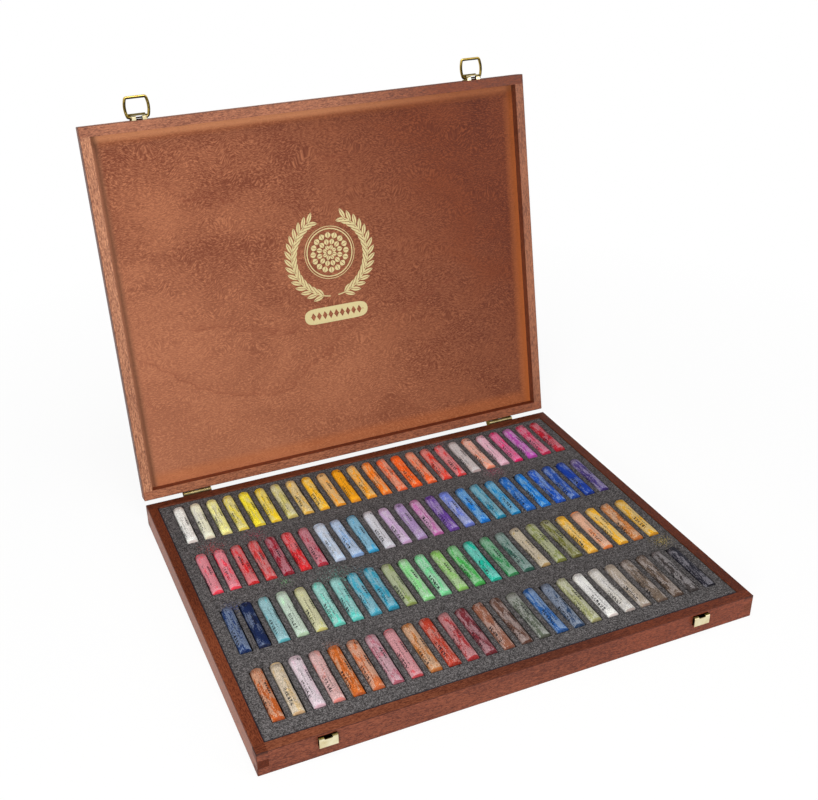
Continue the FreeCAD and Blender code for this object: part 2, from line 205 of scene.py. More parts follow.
def placeGroup(group, inputs):
    node = addNode("Group", node_tree=group)
    giveInputs(node, inputs)
    return node.outputs


def newMaterial(name, plainValues):
    material = bpy.data.materials.new(name)
    material.use_nodes = True
    material.node_tree.nodes.clear()
    shading["tree"] = material.node_tree
    shader = addNode("BsdfPrincipled", plainValues)
    addNode("OutputMaterial", {"Surface": shader.outputs[0]})
    return material, shader.inputs


def paint(shader, colour, height=None, bump=(0, 0), streaks=None, rough=(0, 0)):
    # bump is a strength and a distance in metres; rough is the roughness where the streaks are low and high
    link(colour, shader["Base Color"])
    if height is not None:
        bumped = addNode("Bump", {"Height": height, "Strength": bump[0], "Distance": bump[1]})
        link(bumped.outputs[0], shader["Normal"])
    if streaks is not None:
        link(spread(streaks, 0.3, 0.7, *rough), shader["Roughness"])


# camera
camera = {
    "place": (-0.3876, -0.8250, 0.6841),
    "looks": (0.33479, 0.80323, -0.49268),
    "right": (0.91900, -0.39387, -0.01764),
    "lens": 49.77,
    "shiftX": 0.0279,
    "shiftY": 0.0255,
}


def setCamera():
    data = bpy.data.cameras.new("caseCamera")
    data.lens = camera["lens"]
    data.shift_x = camera["shiftX"]
    data.shift_y = camera["shiftY"]
    data.clip_start, data.clip_end = 0.05, 20
    viewer = bpy.data.objects.new("caseCamera", data)
    bpy.context.scene.collection.objects.link(viewer)
    right, back = Vector(camera["right"]), -Vector(camera["looks"])
    up = back.cross(right)
    turn = Matrix((right, up, back)).transposed()
    viewer.matrix_world = Matrix.Translation(camera["place"]) @ turn.to_4x4()
    bpy.context.scene.camera = viewer


setCamera()
print("camera set")

# studio
studio = {
    "floorSize": 9.0,
    "floorTint": (0.93, 0.93, 0.92, 1),
    "floorShadow": 0.10,
    "shadowReach": (0.45, 0.95),
    "roomLight": 0.33,
    "aimHeight": 0.12,
    # each lamp's place, width in metres and power in watts
    "lamps": {
        "keyLamp": ((-1.5, -1.9, 0.75), 0.8, 41),
        "fillLamp": ((1.5, -1.8, 0.9), 1.2, 13),
        "topLamp": ((-0.2, -0.5, 2.2), 1.1, 24),
    },
}


def softLamp(name, place, size, power):
    data = bpy.data.lights.new(name, "AREA")
    data.shape, data.size, data.energy = "DISK", size, power
    lamp = bpy.data.objects.new(name, data)
    bpy.context.scene.collection.objects.link(lamp)
    aim = Vector((0, 0, studio["aimHeight"])) - Vector(place)
    lamp.matrix_world = Matrix.Translation(place) @ aim.to_track_quat("-Z", "Y").to_matrix().to_4x4()


def whiteRays():
    # 1 for the rays that find the room plain white: from the camera, off gloss and through glass
    rays = addNode("LightPath").outputs
    seen = larger(rays["Is Camera Ray"], rays["Is Glossy Ray"])
    return larger(seen, rays["Is Transmission Ray"])


def setStudio():
    half = studio["floorSize"] / 2
    corners = np.array([(-half, -half, 0), (half, -half, 0), (half, half, 0), (-half, half, 0)])
    floor = makePiece("studioFloor", corners, np.array([[0, 1, 2, 3]]))
    material = newMaterial("studioFloor", {"Roughness": 0.9, "Base Color": studio["floorTint"]})[0]
    reach = vectorCalc("LENGTH", addNode("TexCoord").outputs["Object"])["Value"]
    keep = spread(reach, *studio["shadowReach"], 1 - studio["floorShadow"], 1.0)
    white = addNode("Emission", {"Color": (1, 1, 1, 1), "Strength": 1.0})
    nodes = material.node_tree.nodes
    plain = nodes["Principled BSDF"].outputs[0]
    both = addNode("MixShader", {0: times(whiteRays(), keep), 1: plain, 2: white.outputs[0]})
    link(both.outputs[0], nodes["Material Output"].inputs["Surface"])
    floor.data.materials.append(material)

    world = bpy.data.worlds.new("studioRoom")
    bpy.context.scene.world = world
    world.use_nodes = True
    world.node_tree.nodes.clear()
    shading["tree"] = world.node_tree
    strength = spread(whiteRays(), 0, 1, studio["roomLight"], 1.0)
    room = addNode("Background", {"Color": (1, 1, 1, 1), "Strength": strength})
    addNode("OutputWorld", {"Surface": room.outputs[0]})

    for name, settings in studio["lamps"].items():
        softLamp(name, *settings)
    bpy.context.scene.view_settings.view_transform = "Standard"


setStudio()
print("studio set")

# stained wood
stainAndPaintedLight = {
    "light": (182, 114, 84),
    "middle": (150, 84, 60),
    "dark": (96, 46, 30),
    "pore": (64, 28, 18),
    "endGrain": (112, 56, 38),
    "panelLight": (190, 126, 94),
    "panelMiddle": (160, 96, 68),
    "panelDark": (112, 54, 34),
    # bare and rim are painted light along the edges of the lid's panel, olive is painted shade there
    "bare": (176, 98, 50),
    "olive": (124, 80, 56),
    "rim": (200, 138, 98),
}
stainAndPaintedLight = {name: screenColour(*tone) for name, tone in stainAndPaintedLight.items()}
# How each board departs from the plain stain. Tints: all round, faces that look up (top, and topFarShade past
# the fall along the board, a painted shade where less lamp light reaches), faces towards the middle of the
# case (inner, a painted shade) and away from it (outer), the right end (right, the wood's redder tone and a
# painted shade), and where a side board laps over the end (lap, lapTop). Shares: its sheen, and how far its
# end grain shows.
plainBoard = {"inner": (0.5, 0.4, 0.36), "sheen": 0.35, "ends": 0.3}
boardLooks = {
    "tray_front_board": {
        "tint": (0.54, 0.42, 0.375), "top": (0.69, 0.62, 0.55), "topFarShade": (0.37, 0.28, 0.24),
        "fall": (-0.2, 0.02), "right": (0.95, 0.82, 0.74), "sheen": 0.2,
        "lap": (0.26, 0.19, 0.16), "lapTop": (0.42, 0.30, 0.22),
    },
    "tray_back_board": {"tint": (0.58, 0.50, 0.48), "top": (0.30, 0.22, 0.17)},
    "tray_left_board": {
        "tint": (0.66, 0.51, 0.32), "top": (0.51, 0.36, 0.26), "topFarShade": (0.33, 0.215, 0.145),
        "fall": (-0.05, 0.02), "sheen": 0.5, "ends": 1.0,
    },
    "tray_right_board": {"tint": (0.58, 0.50, 0.48), "top": (0.25, 0.142, 0.082), "ends": 0.25},
    "lid_front_board": {
        "tint": (0.84, 0.90, 0.86), "top": (0.84, 0.90, 0.86), "inner": (0.8, 0.8, 0.72),
        "right": (0.49, 0.28, 0.15),
    },
    "lid_back_board": {
        "tint": (0.88, 0.92, 0.84), "top": (0.42, 0.34, 0.28), "inner": (0.46, 0.30, 0.22),
        "right": (0.80, 0.68, 0.60),
    },
    "lid_left_board": {
        "tint": (1.14, 1.44, 1.42), "top": (1.0, 1.1, 1.1), "inner": (0.8, 0.8, 0.7),
        "outer": (0.36, 0.25, 0.19),
    },
    "lid_right_board": {
        "tint": (0.74, 0.77, 0.67), "top": (0.80, 0.84, 0.72), "inner": (0.42, 0.32, 0.26),
    },
}
# places in metres on the shut case: where the right end's tint begins and is full, the lap's ends along X and
# the height where it begins, and the painted contact shadow along the bottom edge of the tray
boardPlaces = {
    "right": (0.02, 0.14),
    "lapEnd": (0.2299, 0.2302),
    "lapFoot": (0.0217, 0.022),
    "foot": (0.0014, 0.0006),
}
# tints, swirls and lines of the panels, then painted light and painted shade along the edges of the lid's
# panel:
# between which distances from the boards they grow, in metres, and their lowest and highest share
panelLook = {
    "tint": (0.70, 0.64, 0.57),
    "ruddy": (0.50, 0.32, 0.21),
    "swirl": (0.010, 0.034, 0.0),
    "rebate": 0.010,
    "lineWidth": 0.0045,
    "lineShare": 0.55,
    "frontGlow": (0.0075, -0.001, 0.0, 0.42),
    "backGlow": (0.012, 0.004, 0.0, 0.35),
    "rightGlow": (0.0085, -0.0035),
    "rightShare": (0.5, 0.46),
    # painted shade beside the left board (leftShade), and painted light right at it (leftEdge)
    "leftShade": (0.0045, 0.0, 0.0, 0.7),
    "leftEdge": (-0.0005, -0.003, 0.0, 0.7),
    "rim": (0.0034, -0.001),
    "rimFade": (0.5, 0.85, 0.56, 0.14),
}
# dark lines in the veneer: shares of the panel's width and depth, left to right, the lid's front edge first
veneerLines = [
    [(0.03, 0.617), (0.10, 0.676), (0.19, 0.747), (0.28, 0.78), (0.36, 0.78), (0.42, 0.73), (0.48, 0.69),
     (0.50, 0.66), (0.57, 0.62), (0.61, 0.59)],
    [(0.12, 0.138), (0.19, 0.209), (0.24, 0.215), (0.29, 0.233), (0.315, 0.257)],
    [(0.14, 0.558), (0.24, 0.575), (0.32, 0.605), (0.41, 0.607), (0.43, 0.593)],
    [(0.48, 0.135), (0.51, 0.15), (0.55, 0.15), (0.58, 0.14)],
    [(0.63, 0.70), (0.66, 0.63), (0.70, 0.60), (0.76, 0.57), (0.83, 0.555)],
]


# how fine each noise of the grain is, per metre along the grain and across it
grainScale = {
    "fibre": (170, 1000, 1000),
    "fleck": (380, 1200, 1200),
    "figure": (6, 16, 16),
    "pore": (300, 1500, 1500),
    "endDots": (1100, 1100, 1100),
}


def grainGroup():
    # Grain runs along the vector's X. Fibre is a stretched fine noise, Fleck short wavy dashes, Figure a slow
    # wandering band, Pore the darkest part of another stretched noise.
    labels = ("Fibre", "Fleck", "Figure", "Pore", "Height")
    outputs = [(label, "Float") for label in labels]
    group, given, result = newGroup("woodGrain", [("Vector", "Vector")], outputs)
    place = given["Vector"]
    fibre = noise(place, grainScale["fibre"], 4.0, 0.68)
    fleck = noise(place, grainScale["fleck"], 2.0, 0.6, 0.6)
    figure = noise(place, grainScale["figure"], 4.0, 0.6, 0.8)
    pore = spread(noise(place, grainScale["pore"], 2.0, 0.5), 0.58, 0.72)
    height = minus(calc("ADD", fibre, fleck), times(pore, 0.6))
    for label, socket in zip(labels, (fibre, fleck, figure, pore, height)):
        link(socket, result[label])
    return group


woodGrain = grainGroup()


def shutPlace(place):
    # coordinates of the opened lid as they were with the lid shut
    move = hingePlace - Matrix.Rotation(openAngle, 3, "X") @ hingePlace
    return turned(place, (openAngle, 0, 0), tuple(move))


def boardMaterial(name, grainAlong, opened, seed):
    # grainAlong is the board's long axis in the shut case, "X" or "Y"
    look = {**plainBoard, **boardLooks[name]}
    plainValues = {"Roughness": 0.46, "Specular IOR Level": look["sheen"]}
    material, shader = newMaterial("stained_" + name, plainValues)
    coordinates = addNode("TexCoord").outputs
    place, facing = coordinates["Object"], coordinates["Normal"]
    upward = spread(axes(facing)["Z"], 0.85, 0.95)
    if opened:
        place, facing = shutPlace(place), turned(facing, (openAngle, 0, 0))
    # inward is negative on faces that look at the middle of the case
    inward = vectorCalc("DOT_PRODUCT", facing, place)["Value"]
    spot = axes(place)
    if grainAlong == "Y":
        place, facing = (turned(vector, (0, 0, math.pi / 2)) for vector in (place, facing))
    shifted = vectorCalc("ADD", place, (seed, seed * 0.37, seed * 0.71))[0]
    grain = placeGroup(woodGrain, {"Vector": shifted})
    tone = weighted((grain["Figure"], 0.2), (grain["Fibre"], 0.4), (grain["Fleck"], 0.4))
    # end grain, and dark chamfers where a face looks along no axis
    alongX, alongY, alongZ = (calc("ABSOLUTE", part) for part in axes(facing))
    flat = larger(larger(alongX, alongY), alongZ)
    endShare = spread(alongX, 0.8, 0.9)
    dots = noise(shifted, grainScale["endDots"], 3.0, 0.6)
    colour = layered(
        stainAndPaintedLight["dark"],
        (spread(tone, 0.425, 0.575), stainAndPaintedLight["light"]),
        (0.2, stainAndPaintedLight["middle"]),
        (times(grain["Pore"], 0.6), stainAndPaintedLight["pore"]),
        (times(endShare, look["ends"]), mix(spread(dots, 0.3, 0.65), stainAndPaintedLight["pore"], stainAndPaintedLight["endGrain"])),
        (spread(flat, 0.95, 0.75, 0.0, 0.6), stainAndPaintedLight["pore"]),
    )
    top = look["top"]
    # past the fall along the board, the top takes a painted shade where less lamp light reaches
    if "fall" in look:
        top = mix(spread(spot[grainAlong], *look["fall"]), top, look["topFarShade"])
    # faces towards the middle of the case take a painted shade
    tint = layered(look["tint"], (upward, top), (spread(inward, -0.12, -0.15), look["inner"]))
    if "outer" in look:
        tint = mix(spread(inward, 0.15, 0.18), tint, look["outer"])
    if "lap" in look:
        beyond = spread(calc("ABSOLUTE", spot["X"]), *boardPlaces["lapEnd"])
        lap = times(beyond, spread(spot["Z"], *boardPlaces["lapFoot"]))
        tint = mix(lap, tint, mix(upward, look["lap"], look["lapTop"]))
    colour = tinted(colour, tint)
    # towards the right end: the wood's redder tone, and a painted shade
    if "right" in look:
        colour = mix(spread(spot["X"], *boardPlaces["right"]), colour, tinted(colour, look["right"]))
    # painted contact shadow: a dark line along the bottom edge of the tray's boards
    colour = mix(spread(spot["Z"], *boardPlaces["foot"], 0.0, 0.55), colour, stainAndPaintedLight["pore"])
    dull = larger(upward, endShare)
    link(spread(dull, 0.0, 1.0, look["sheen"], 0.1), shader["Specular IOR Level"])
    paint(shader, colour, grain["Height"], (0.3, 0.0003), grain["Fibre"], (0.42, 0.58))
    return material


def veneerLine(across, deep, points):
    # a curve gives the line's depth at every place across the panel; the mask is thin there, and a soft shade
    # lies on its front side
    curve = addNode("FloatCurve", {"Value": across, "Factor": 1.0})
    line = curve.mapping.curves[0]
    line.points[0].location = (0.0, points[0][1])
    line.points[1].location = (1.0, points[-1][1])
    for x, y in points:
        line.points.new(x, y)
    curve.mapping.update()
    gap = minus(deep, curve.outputs[0])
    thin = spread(calc("ABSOLUTE", gap), 0.0, panelLook["lineWidth"], 1.0, 0.0)
    shade = times(spread(gap, -0.03, 0.0, 0.0, 0.35), calc("LESS_THAN", gap, 0.0))
    first, last, fade = points[0][0], points[-1][0], 0.03
    span = times(spread(across, first, first + fade), spread(across, last - fade, last, 1.0, 0.0))
    return times(larger(thin, shade), span)


def panelMaterial(name, opened):
    material, shader = newMaterial(name, {"Roughness": 0.5, "Specular IOR Level": 0.18})
    coordinates = addNode("TexCoord").outputs
    place = shutPlace(coordinates["Object"]) if opened else coordinates["Object"]
    low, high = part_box("tray_bottom_panel")
    grain = placeGroup(woodGrain, {"Vector": place})
    blotch = noise(place, (10, 14, 14), 3.0, 0.5, 0.9)
    wave = noise(place, (40, 90, 90), 3.0, 0.6, 1.0)
    # the flecks follow slow swirls in the veneer
    swirl = addNode("TexNoise", {"Vector": place, "Scale": 30.0, "Detail": 1.0}).outputs["Color"]
    swirl = vectorCalc("SUBTRACT", swirl, (0.5, 0.5, 0.5))[0]
    bent = vectorCalc("MULTIPLY_ADD", swirl, panelLook["swirl"], place)[0]
    curl = noise(bent, (330, 980, 980), 2.0, 0.6, 0.6)
    tone = weighted((blotch, 0.33), (curl, 0.34), (spread(curl, 0.5, 0.64), 0.12), (wave, 0.04))
    tone = spread(tone, 0.285, 0.50)
    colour = layered(stainAndPaintedLight["panelDark"], (tone, stainAndPaintedLight["panelLight"]), (0.2, stainAndPaintedLight["panelMiddle"]))
    colour = tinted(colour, panelLook["tint"])
    spot = axes(place)
    across = spread(spot["X"], low.x, high.x)
    deep = spread(calc("MULTIPLY_ADD", minus(wave, 0.5), 0.02, spot["Y"]), low.y, high.y)
    if opened:
        # darker and redder towards the right and the front edge: the veneer's own tone, and painted shade
        ruddy = weighted((across, 1.0), (deep, -0.54), (blotch, 0.5))
        colour = mix(spread(ruddy, 0.45, 0.98), colour, tinted(colour, panelLook["ruddy"]))
        # lighter towards the left and the hinge side: the veneer's own tone, and painted light
        pale = times(deep, minus(1.0, across))
        colour = mix(spread(pale, 0.2, 0.9, 0.0, 0.4), colour, stainAndPaintedLight["panelLight"])
        for points in veneerLines:
            mask = times(veneerLine(across, deep, points), panelLook["lineShare"])
            colour = mix(mask, colour, stainAndPaintedLight["panelDark"])
        plain = colour
        rebate = panelLook["rebate"]
        fromLeft, fromRight = minus(spot["X"], low.x + rebate), minus(high.x - rebate, spot["X"])
        fromFront, fromBack = minus(spot["Y"], low.y + rebate), minus(high.y - rebate, spot["Y"])
        # painted light: lighter bands along the front, hinge and right edges, and a bright line along the
        # front edge that fades to the right
        rightShare = calc("MULTIPLY_ADD", deep, *panelLook["rightShare"])
        glow = larger(spread(fromFront, *panelLook["frontGlow"]), spread(fromBack, *panelLook["backGlow"]))
        glow = larger(glow, times(spread(fromRight, *panelLook["rightGlow"]), rightShare))
        rim = times(spread(fromFront, *panelLook["rim"]), spread(across, *panelLook["rimFade"]))
        # the outer face has none of these, so it goes back to the plain colour
        upright = axes(turned(coordinates["Normal"], (openAngle, 0, 0)))["Z"]
        colour = layered(
            plain,
            (glow, stainAndPaintedLight["bare"]),
            # painted shade along the left board, and painted light nearest to it
            (spread(fromLeft, *panelLook["leftShade"]), stainAndPaintedLight["olive"]),
            (spread(fromLeft, *panelLook["leftEdge"]), stainAndPaintedLight["panelLight"]),
            (rim, stainAndPaintedLight["rim"]),
            (spread(upright, 0.0, 0.5), plain),
        )
    colour = mix(times(grain["Pore"], 0.3), colour, stainAndPaintedLight["pore"])
    paint(shader, colour, grain["Height"], (0.25, 0.0003), grain["Fibre"], (0.44, 0.6))
    return material


def dress(nodeName, material):
    slots = cad[nodeName].data.materials
    slots.clear()
    slots.append(material)


def dressWood():
    seed = 0.0
    for part, opened in (("tray", False), ("lid", True)):
        for side, along in (("front", "X"), ("back", "X"), ("left", "Y"), ("right", "Y")):
            seed += 1.7
            name = part + "_" + side + "_board"
            dress(name, boardMaterial(name, along, opened, seed))
    dress("tray_bottom_panel", panelMaterial("stained_bottom_panel", False))
    dress("lid_panel", panelMaterial("stained_lid_panel", True))


dressWood()
print("wood stained")

# brass
brassLook = {
    "pale": screenColour(240, 232, 198),
    "deep": screenColour(190, 160, 84),
    "tarnishAndShade": screenColour(92, 78, 34),
    "edge": screenColour(120, 104, 50),
    "shaded": screenColour(34, 18, 10),
    "wire": screenColour(208, 174, 66),
    "wireFront": screenColour(46, 36, 10),
    "rough": (0.24, 0.4),
    "clouds": (130, 130, 130),
    "scratches": (500, 3000, 3000),
    # how much of the polish is gone, 0 to 1; the levers' high share is painted shade
    "wearAndShade": {"hinge": 0.86, "latch": 0.05, "strike": 0.0, "bail": 0.12, "lever": 0.92},
    "slotHalf": 0.0031,
    "strikeLip": 0.0014,
}


def brassMaterial(name, kind, inside=None, slotPlace=None):
    # behind the inside depth along Y the sheet is in the dark, and so is a slot at a distance from the middle
    # of the case: both are painted shade. Faces that look up or to the left get painted shade in the tarnish
    # colour, and the wire of a bail keeps its shine along its flanks and has painted shade in front
    material, shader = newMaterial(name, {"Metallic": 1.0, "Specular Tint": brassLook["edge"]})
    coordinates = addNode("TexCoord").outputs
    spot, facing = axes(coordinates["Object"]), axes(coordinates["Normal"])
    cloud = noise(coordinates["Object"], brassLook["clouds"], 3.0)
    scratch = noise(coordinates["Object"], brassLook["scratches"])
    pale = brassLook["pale"]
    colour = layered(brassLook["deep"], (spread(cloud, 0.3, 0.7), pale), (0.5, pale))
    if kind == "bail":
        # painted shade on the front and the underside of the wire
        dull = times(spread(facing["Y"], -0.3, -0.65), spread(facing["Z"], 0.45, 0.25))
        dull = larger(dull, spread(facing["Z"], -0.2, -0.6))
        colour = mix(0.85, colour, brassLook["wire"])
    else:
        # painted shade on faces that look up and to the left
        dull = larger(spread(facing["Z"], 0.3, 0.8), spread(facing["X"], -0.3, -0.8, 0.0, 0.8))
    dull = larger(dull, brassLook["wearAndShade"][kind])
    dull = times(dull, spread(cloud, 0.2, 0.6, 0.75, 1.0))
    colour = mix(dull, colour, brassLook["wireFront" if kind == "bail" else "tarnishAndShade"])
    if inside is not None:
        flank = spread(calc("ABSOLUTE", facing["X"]), 0.8, 0.5)
        shaded = times(spread(spot["Y"], inside - 0.0002, inside + 0.0002), flank)
        colour = mix(shaded, colour, brassLook["shaded"])
    if slotPlace is not None:
        fromSlot = calc("ABSOLUTE", minus(calc("ABSOLUTE", spot["X"]), slotPlace))
        half = brassLook["slotHalf"]
        colour = mix(spread(fromSlot, half + 0.0003, half), colour, brassLook["shaded"])
    paint(shader, colour, scratch, (0.04, 0.0001), scratch, brassLook["rough"])
    return material


def dressBrass():
    low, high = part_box("latch_left_plate")
    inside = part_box("strike_left")[1].y - brassLook["strikeLip"]
    kinds = {
        "hinge": brassMaterial("agedBrass", "hinge"),
        "latch": brassMaterial("wornBrass", "latch", slotPlace=abs(low.x + high.x) / 2),
        "strike": brassMaterial("pressedBrass", "strike", inside),
        "bail": brassMaterial("wireBrass", "bail"),
        "lever": brassMaterial("shadedBrass", "lever"),
    }
    for nodeName in cad:
        words = nodeName.split("_")
        if words[0] in kinds:
            dress(nodeName, kinds[words[-1] if words[-1] in kinds else words[0]])


dressBrass()
print("brass set")

# foam
foam = {
    "gridAcross": 2.4 * mm,
    "gridDeep": 3.3 * mm,
    # places of the close lines beside a pocket's edge, inside it when above 0, and beside the border, in
    # millimetres; the wide grid stays clear of them
    "edgeLines": [-2.4, -1.2, -0.7, -0.4, -0.2, -0.05, 0.0, 0.12, 0.6],
    "borderLines": [0.0, 0.08, 0.3, 0.7, 1.4, 2.6],
    "edgeClear": 2.9 * mm,
    "borderClear": 3.5 * mm,
    "rimRound": 0.7 * mm,
    "rimDrop": 0.35 * mm,
    "wallWide": 0.11 * mm,
    "edgeRound": 1.2 * mm,
    "edgeDrop": 0.7 * mm,
    "waves": 0.06 * mm,
    "cells": 0.05 * mm,
    "light": screenColour(128, 124, 124),
    "middle": screenColour(76, 73, 73),
    "dark": screenColour(36, 34, 34),
    "deep": screenColour(10, 9, 9),
    "edge": screenColour(34, 32, 44),
    # heights between which a pocket gets its painted shade, and the painted shadow line's offsets from the
    # front and the left
    "pocketShade": (0.0222, 0.0212),
    "lineFront": 0.0009,
    "lineLeft": 0.0001,
    "dustHeight": 0.0225,
    # how fine the open cells are, per metre
    "crumbs": 1250.0,
    "grit": 1050.0,
    "coarse": 300.0,
}
# dust that rubbed off on the foam: place on the tray in millimetres, reach and colour
dustSpots = [
    (-100, -8, 34, "mint"),
    (-75, -10, 22, "tealCyan"),
    (-196, 88, 30, "red"),
    (-150, 92, 26, "rose"),
    (-205, -10, 22, "cobalt"),
    (-140, -97, 16, "burntOrange"),
    (-148, 8, 14, "lightGreen"),
    (95, 180, 16, "vermilion"),
    (215, -85, 20, "golden"),
    (125, 100, 24, "magenta"),
]
pocket = {"sideGap": 0.8 * mm, "endGap": 0.7 * mm, "depth": 8.0 * mm, "perRow": 25}
rowNames = ["row_" + str(number) + "_sticks" for number in range(1, 5)]


def rowLayout():
    # centres of the sticks along X and of the rows along Y, a stick's radius, half length and axis height
    low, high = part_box(rowNames[0])
    halfWide = (high.z - low.z) / 2
    columns = np.linspace(low.x + halfWide, high.x - halfWide, pocket["perRow"])
    rows = np.array([(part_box(name)[0].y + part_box(name)[1].y) / 2 for name in rowNames])
    return columns, rows, halfWide, (high.y - low.y) / 2, (high.z + low.z) / 2


columnsX, rowsY, stickRadius, stickHalf, stickAxisZ = rowLayout()


def foamLines(low, high, centres, half, step):
    # grid lines close together at every pocket edge and every border, about one step apart elsewhere
    near, border = np.array(foam["edgeLines"]) * mm, np.array(foam["borderLines"]) * mm
    ends = np.concatenate([centres - half, centres + half])
    edges = np.concatenate([(centres - half)[:, None] + near, (centres + half)[:, None] - near]).ravel()
    rest = np.linspace(low, high, int((high - low) / step))
    gap = np.abs(rest[:, None] - ends[None, :]).min(axis=1)
    fromBorder = np.minimum(rest - low, high - rest)
    rest = rest[(gap > foam["edgeClear"]) & (fromBorder > foam["borderClear"])]
    return np.unique(np.round(np.concatenate([edges, rest, low + border, high - border]), 7))


def makeFoam():
    low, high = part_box("foam_pocket_sheet")
    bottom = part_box("foam_bed")[0].z
    halfX, halfY = stickRadius + pocket["sideGap"], stickHalf + pocket["endGap"]
    xs = foamLines(low.x, high.x, columnsX, halfX, foam["gridAcross"])
    ys = foamLines(low.y, high.y, rowsY, halfY, foam["gridDeep"])
    across, deep = np.meshgrid(xs, ys)
    # signed distance to the nearest pocket's outline: negative inside it
    toColumn = np.abs(xs[:, None] - columnsX[None, :]).min(axis=1) - halfX
    toRow = np.abs(ys[:, None] - rowsY[None, :]).min(axis=1) - halfY
    distance = np.maximum(toColumn[None, :], toRow[:, None])
    # a rim that rolls in over its last part, then a steep wall down to the pocket's floor
    roll = np.clip(1 - distance / foam["rimRound"], 0, 1) ** 2.4 * foam["rimDrop"]
    wall = np.clip(-distance / foam["wallWide"], 0, 1)
    toBorder = np.minimum(np.minimum(xs - low.x, high.x - xs), np.minimum(ys - low.y, high.y - ys)[:, None])
    edge = np.clip(1 - toBorder / foam["edgeRound"], 0, 1) ** 2.2 * foam["edgeDrop"]
    random = np.random.default_rng(11)
    waves = 0.5 * np.sin(across * 61 + 2.1 * np.sin(deep * 37)) + 0.5 * np.sin(deep * 83 + across * 23)
    lumps = random.normal(0, 1, across.shape) * (distance > 0.15 * mm)
    height = high.z - roll - edge - wall * pocket["depth"] + foam["waves"] * waves + foam["cells"] * lumps
    height = np.minimum(height, high.z)
    top = np.stack([across, deep, height], axis=-1).reshape(-1, 3)
    rows, columns = across.shape
    index = np.arange(rows * columns).reshape(rows, columns)
    loop = np.concatenate([index[0, :-1], index[:-1, -1], index[-1, :0:-1], index[:0:-1, 0]])
    skirt = top[loop].copy()
    skirt[:, 2] = bottom
    middle = np.array([[(low.x + high.x) / 2, (low.y + high.y) / 2, bottom]])
    first = len(top)
    ring = first + np.arange(len(loop))
    after = np.roll(np.arange(len(loop)), -1)
    sides = np.stack([ring, ring[after], loop[after], loop], axis=-1)
    base = np.stack([ring[after], ring, np.full(len(ring), first + len(ring))], axis=-1)
    quads = np.concatenate([gridQuads(rows, columns), sides])
    return makePiece("foamInsert", np.concatenate([top, skirt, middle]), quads, base, smooth=False)


def foamMaterial():
    material, shader = newMaterial("openFoam", {"Roughness": 0.95, "Specular IOR Level": 0.1})
    place = addNode("TexCoord").outputs["Object"]
    spot = axes(place)
    crumb = axes(addNode("TexVoronoi", {"Vector": place, "Scale": foam["crumbs"]}).outputs["Color"])["X"]
    grit, coarse = noise(place, foam["grit"], 3.0, 0.75), noise(place, foam["coarse"], 2.0, 0.6)
    tone = weighted((crumb, 0.28), (grit, 0.55), (coarse, 0.17))
    # painted light: the foam gets lighter towards the front left, nearest the key lamp
    nearFront = spread(calc("MULTIPLY_ADD", spot["X"], 0.5, spot["Y"]), -0.29, 0.0, 1.0, 0.0)
    lift = calc("MULTIPLY_ADD", nearFront, 0.05, tone)
    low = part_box("foam_bed")[0]
    fromFront = minus(spot["Y"], low.y + foam["lineFront"])
    fromEdge = calc("MINIMUM", fromFront, minus(spot["X"], low.x + foam["lineLeft"]))
    colour = layered(
        foam["dark"],
        (spread(lift, 0.32, 0.54), foam["middle"]),
        (spread(lift, 0.52, 0.69), foam["light"]),
        # painted shade: a dark line where the foam meets the front and left boards
        (spread(fromEdge, 0.0014, 0.0006, 0.0, 0.8), foam["edge"]),
        (spread(spot["Z"], *foam["pocketShade"], 0.0, 0.92), foam["deep"]),
    )
    for x, y, reach, name in dustSpots:
        away = vectorCalc("DISTANCE", place, (x * mm, y * mm, foam["dustHeight"]))["Value"]
        near = spread(away, 0.0, reach * mm, 1.0, 0.0)
        speck = noise(place, 700.0 + abs(x), 2.0, 0.6)
        mask = spread(calc("MULTIPLY_ADD", near, 0.16, speck), 0.68, 0.76, 0.0, 0.6)
        colour = mix(times(mask, near), colour, screenColour(*pigments[name]))
    paint(shader, colour, tone, (0.7, 0.0007))
    return material


